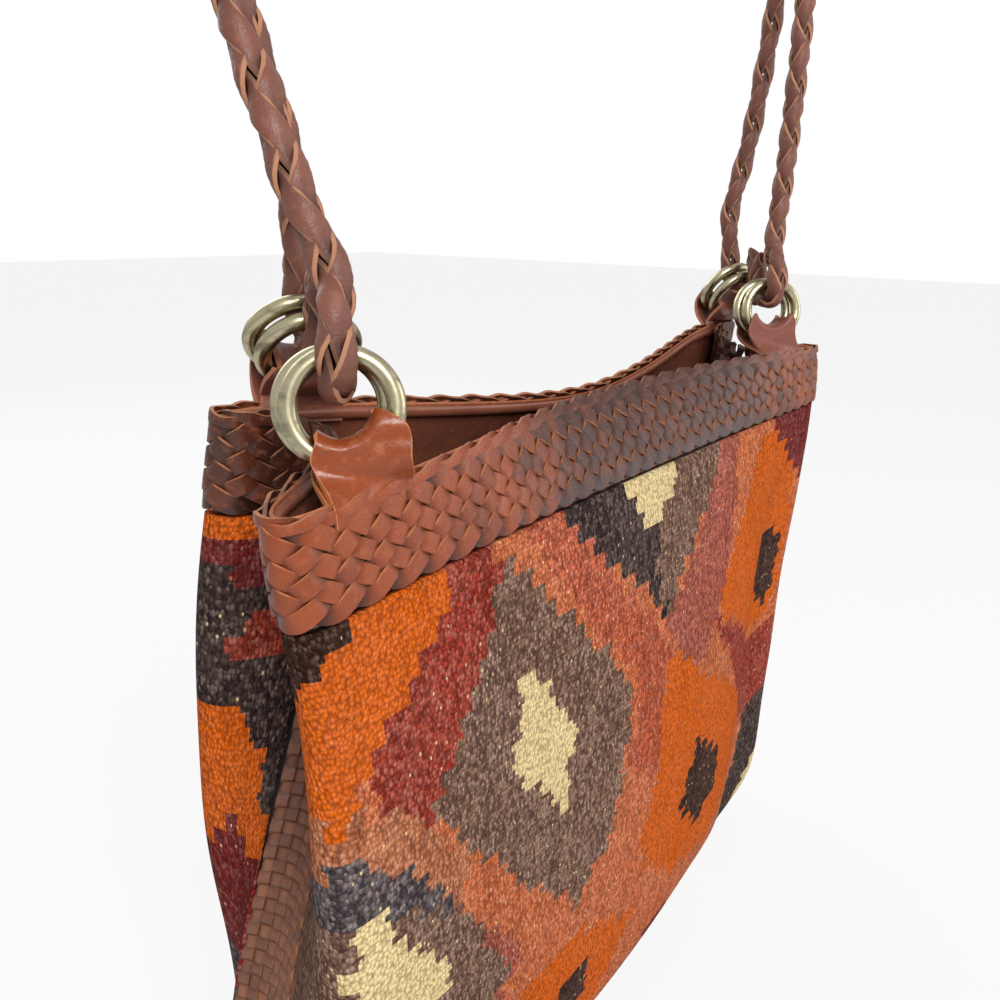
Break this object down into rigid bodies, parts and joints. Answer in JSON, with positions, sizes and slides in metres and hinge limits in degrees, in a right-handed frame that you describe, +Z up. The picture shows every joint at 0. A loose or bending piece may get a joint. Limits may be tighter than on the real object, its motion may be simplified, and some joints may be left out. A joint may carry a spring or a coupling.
{
  "type": "crossbody bag",
  "caption": "Soft crossbody bag with kilim panels, a woven gusset strip, a plaited leather mouth band and braided straps on O-rings.",
  "frame": {"origin": "under the top of the two straps' arch, where a shoulder or a hook carries the bag", "axes": "+X along the bag to its right end, +Y from front to back, +Z up"},
  "size_m": [0.3559, 0.0854, 0.7638],
  "materials": {
    "kilim": "coarse wool weave",
    "plaited_leather": "worn satin",
    "facing_leather": "smooth satin",
    "woven_strip": "worn matt",
    "lining_cloth": "plain woven cotton",
    "tab_leather": "smooth satin",
    "braided_leather": "worn satin, raw edges",
    "ring_metal": "antique nickel plate, rubbed"
  },
  "bodies": {
    "root": {"front_panel": "kilim", "back_panel": "kilim", "gusset_strip": "woven_strip", "front_band": "plaited_leather", "back_band": "plaited_leather", "front_facing": "facing_leather", "back_facing": "facing_leather", "lining": "lining_cloth", "front_left_tab": "tab_leather", "front_right_tab": "tab_leather", "back_left_tab": "tab_leather", "back_right_tab": "tab_leather", "front_strap": "braided_leather", "back_strap": "braided_leather"},
    "front_left_outer_ring_body": {"front_left_outer_ring": "ring_metal"},
    "front_left_inner_ring_body": {"front_left_inner_ring": "ring_metal"},
    "front_right_outer_ring_body": {"front_right_outer_ring": "ring_metal"},
    "front_right_inner_ring_body": {"front_right_inner_ring": "ring_metal"},
    "back_left_outer_ring_body": {"back_left_outer_ring": "ring_metal"},
    "back_left_inner_ring_body": {"back_left_inner_ring": "ring_metal"},
    "back_right_outer_ring_body": {"back_right_outer_ring": "ring_metal"},
    "back_right_inner_ring_body": {"back_right_inner_ring": "ring_metal"}
  },
  "joints": [
    {"name": "front_left_outer_ring_turn", "type": "hinge", "parent": "root", "child": "front_left_outer_ring_body", "pos_m": [-0.1545, -0.0407, -0.4651], "axis": [-0.6671, -0.7154, 0.2079], "continuous": true},
    {"name": "front_left_inner_ring_turn", "type": "hinge", "parent": "root", "child": "front_left_inner_ring_body", "pos_m": [-0.15234, -0.03545, -0.46562], "axis": [-0.6671, -0.7154, 0.2079], "continuous": true},
    {"name": "front_right_outer_ring_turn", "type": "hinge", "parent": "root", "child": "front_right_outer_ring_body", "pos_m": [0.1215, -0.0385, -0.4621], "axis": [-0.6716, -0.7202, 0.1736], "continuous": true},
    {"name": "front_right_inner_ring_turn", "type": "hinge", "parent": "root", "child": "front_right_inner_ring_body", "pos_m": [0.12367, -0.03324, -0.46243], "axis": [-0.6716, -0.7202, 0.1736], "continuous": true},
    {"name": "back_left_outer_ring_turn", "type": "hinge", "parent": "root", "child": "back_left_outer_ring_body", "pos_m": [-0.1325, -0.005, -0.4579], "axis": [-0.3199, -0.6708, -0.6691], "continuous": true},
    {"name": "back_left_inner_ring_turn", "type": "hinge", "parent": "root", "child": "back_left_inner_ring_body", "pos_m": [-0.13278, -0.00095, -0.45391], "axis": [-0.3199, -0.6708, -0.6691], "continuous": true},
    {"name": "back_right_outer_ring_turn", "type": "hinge", "parent": "root", "child": "back_right_outer_ring_body", "pos_m": [0.1465, -0.0095, -0.4583], "axis": [-0.2767, -0.7602, -0.5878], "continuous": true},
    {"name": "back_right_inner_ring_turn", "type": "hinge", "parent": "root", "child": "back_right_inner_ring_body", "pos_m": [0.14597, -0.00512, -0.4547], "axis": [-0.2767, -0.7602, -0.5878], "continuous": true}
  ]
}
